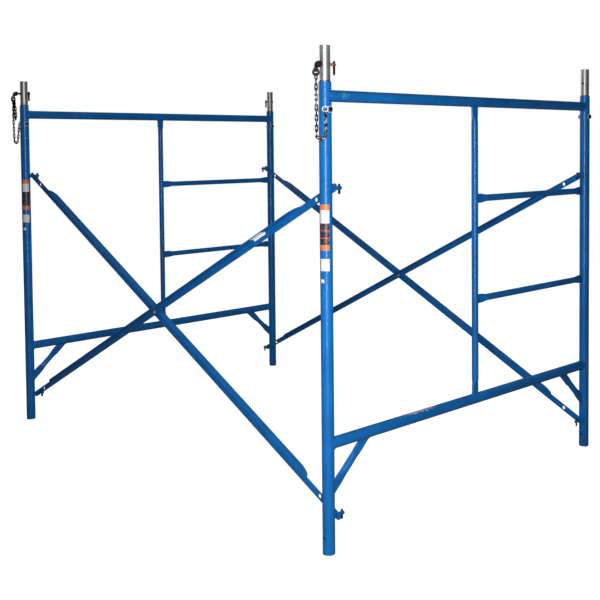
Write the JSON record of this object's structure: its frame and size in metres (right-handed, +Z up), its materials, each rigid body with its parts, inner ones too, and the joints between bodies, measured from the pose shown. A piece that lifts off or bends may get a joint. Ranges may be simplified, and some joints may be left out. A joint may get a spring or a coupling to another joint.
{
  "type": "frame scaffold section",
  "caption": "Ladder-frame scaffold section: two welded tube end frames with coupling pins, joined by riveted angle cross braces on studs with gravity locks.",
  "frame": {"origin": "on the floor under the legs, in the middle of the bounding box: midway between the end frames, and 19 mm left of midway between the legs, because the toggle pins reach further out on the left", "axes": "+X across an end frame, from its open half towards its ladder half; +Y from the near end frame to the far one, along the cross braces; +Z up"},
  "size_m": [1.6071, 2.192, 1.638],
  "materials": {
    "blue_paint": "gloss enamel, scuffed",
    "zinc": "bright zinc plate",
    "bolt_steel": "dull zinc plate",
    "dark_steel": "black forged steel with rust",
    "chain_steel": "tarnished zinc plate"
  },
  "bodies": {
    "scaffold": {"leg_near_left": "blue_paint", "leg_near_right": "blue_paint", "leg_far_left": "blue_paint", "leg_far_right": "blue_paint", "gusset_near_left": "blue_paint", "gusset_near_right": "blue_paint", "gusset_far_left": "blue_paint", "gusset_far_right": "blue_paint", "top_bar_near": "blue_paint", "top_bar_far": "blue_paint", "bottom_bar_near": "blue_paint", "bottom_bar_far": "blue_paint", "centre_post_near": "blue_paint", "centre_post_far": "blue_paint", "upper_rung_near": "blue_paint", "upper_rung_far": "blue_paint", "lower_rung_near": "blue_paint", "lower_rung_far": "blue_paint", "coupling_pin_near_left": "zinc", "coupling_pin_near_right": "zinc", "coupling_pin_far_left": "zinc", "coupling_pin_far_right": "zinc", "coupling_bolt_near_left": "bolt_steel", "coupling_bolt_near_right": "bolt_steel", "coupling_bolt_far_left": "bolt_steel", "coupling_bolt_far_right": "bolt_steel", "stud_upper_near_left": "blue_paint", "stud_upper_near_right": "blue_paint", "stud_upper_far_left": "blue_paint", "stud_upper_far_right": "blue_paint", "stud_lower_near_left": "blue_paint", "stud_lower_near_right": "blue_paint", "stud_lower_far_left": "blue_paint", "stud_lower_far_right": "blue_paint", "chain_near_left": "chain_steel", "chain_far_left": "chain_steel"},
    "braces_left": {"brace_outer_left": "blue_paint", "brace_inner_left": "blue_paint", "brace_rivet_left": "zinc"},
    "braces_right": {"brace_outer_right": "blue_paint", "brace_inner_right": "blue_paint", "brace_rivet_right": "zinc"},
    "lock_upper_near_left": {"lock_upper_near_left": "dark_steel"},
    "lock_upper_near_right": {"lock_upper_near_right": "dark_steel"},
    "lock_upper_far_left": {"lock_upper_far_left": "dark_steel"},
    "lock_upper_far_right": {"lock_upper_far_right": "dark_steel"},
    "lock_lower_near_left": {"lock_lower_near_left": "dark_steel"},
    "lock_lower_near_right": {"lock_lower_near_right": "dark_steel"},
    "lock_lower_far_left": {"lock_lower_far_left": "dark_steel"},
    "lock_lower_far_right": {"lock_lower_far_right": "dark_steel"},
    "toggle_pin_near_left": {"toggle_pin_near_left": "dark_steel", "chain_ring_near_left": "chain_steel"},
    "toggle_lever_near_left": {"toggle_lever_near_left": "dark_steel"},
    "toggle_pin_far_left": {"toggle_pin_far_left": "dark_steel", "chain_ring_far_left": "chain_steel"},
    "toggle_lever_far_left": {"toggle_lever_far_left": "dark_steel"},
    "toggle_pin_far_right": {"toggle_pin_far_right": "dark_steel"},
    "toggle_lever_far_right": {"toggle_lever_far_right": "dark_steel"}
  },
  "joints": [
    {"name": "braces_left_slide", "type": "slide", "parent": "scaffold", "child": "braces_left", "axis": [1, 0, 0], "range_m": [0, 0.016]},
    {"name": "braces_right_slide", "type": "slide", "parent": "scaffold", "child": "braces_right", "axis": [-1, 0, 0], "range_m": [0, 0.016]},
    {"name": "lock_upper_near_left_swing", "type": "hinge", "parent": "scaffold", "child": "lock_upper_near_left", "pos_m": [-0.68393, -1.067, 1.184], "axis": [0, -1, 0], "range_deg": [0, 90]},
    {"name": "lock_upper_far_left_swing", "type": "hinge", "parent": "scaffold", "child": "lock_upper_far_left", "pos_m": [-0.68393, 1.067, 1.184], "axis": [0, -1, 0], "range_deg": [0, 90]},
    {"name": "lock_lower_near_left_swing", "type": "hinge", "parent": "scaffold", "child": "lock_lower_near_left", "pos_m": [-0.68393, -1.067, 0.117], "axis": [0, -1, 0], "range_deg": [0, 90]},
    {"name": "lock_lower_far_left_swing", "type": "hinge", "parent": "scaffold", "child": "lock_lower_far_left", "pos_m": [-0.68393, 1.067, 0.117], "axis": [0, -1, 0], "range_deg": [0, 90]},
    {"name": "lock_upper_near_right_swing", "type": "hinge", "parent": "scaffold", "child": "lock_upper_near_right", "pos_m": [0.72277, -1.067, 1.184], "axis": [0, 1, 0], "range_deg": [0, 90]},
    {"name": "lock_upper_far_right_swing", "type": "hinge", "parent": "scaffold", "child": "lock_upper_far_right", "pos_m": [0.72277, 1.067, 1.184], "axis": [0, 1, 0], "range_deg": [0, 90]},
    {"name": "lock_lower_near_right_swing", "type": "hinge", "parent": "scaffold", "child": "lock_lower_near_right", "pos_m": [0.72277, -1.067, 0.117], "axis": [0, 1, 0], "range_deg": [0, 90]},
    {"name": "lock_lower_far_right_swing", "type": "hinge", "parent": "scaffold", "child": "lock_lower_far_right", "pos_m": [0.72277, 1.067, 0.117], "axis": [0, 1, 0], "range_deg": [0, 90]},
    {"name": "toggle_pin_near_left_slide", "type": "slide", "parent": "scaffold", "child": "toggle_pin_near_left", "axis": [-1, 0, 0], "range_m": [0, 0.017]},
    {"name": "toggle_pin_far_left_slide", "type": "slide", "parent": "scaffold", "child": "toggle_pin_far_left", "axis": [-1, 0, 0], "range_m": [-0.0155, 0.001]},
    {"name": "toggle_pin_far_right_slide", "type": "slide", "parent": "scaffold", "child": "toggle_pin_far_right", "axis": [1, 0, 0], "range_m": [0, 0.0075]},
    {"name": "toggle_lever_near_left_swing", "type": "hinge", "parent": "toggle_pin_near_left", "child": "toggle_lever_near_left", "pos_m": [-0.70208, -1.067, 1.579], "axis": [0, -1, 0], "range_deg": [0, 90]},
    {"name": "toggle_lever_far_left_swing", "type": "hinge", "parent": "toggle_pin_far_left", "child": "toggle_lever_far_left", "pos_m": [-0.71757, 1.067, 1.579], "axis": [0, -1, 0], "range_deg": [0, 12]},
    {"name": "toggle_lever_far_right_swing", "type": "hinge", "parent": "toggle_pin_far_right", "child": "toggle_lever_far_right", "pos_m": [0.75143, 1.067, 1.579], "axis": [0, 1, 0], "range_deg": [0, 90]}
  ]
}
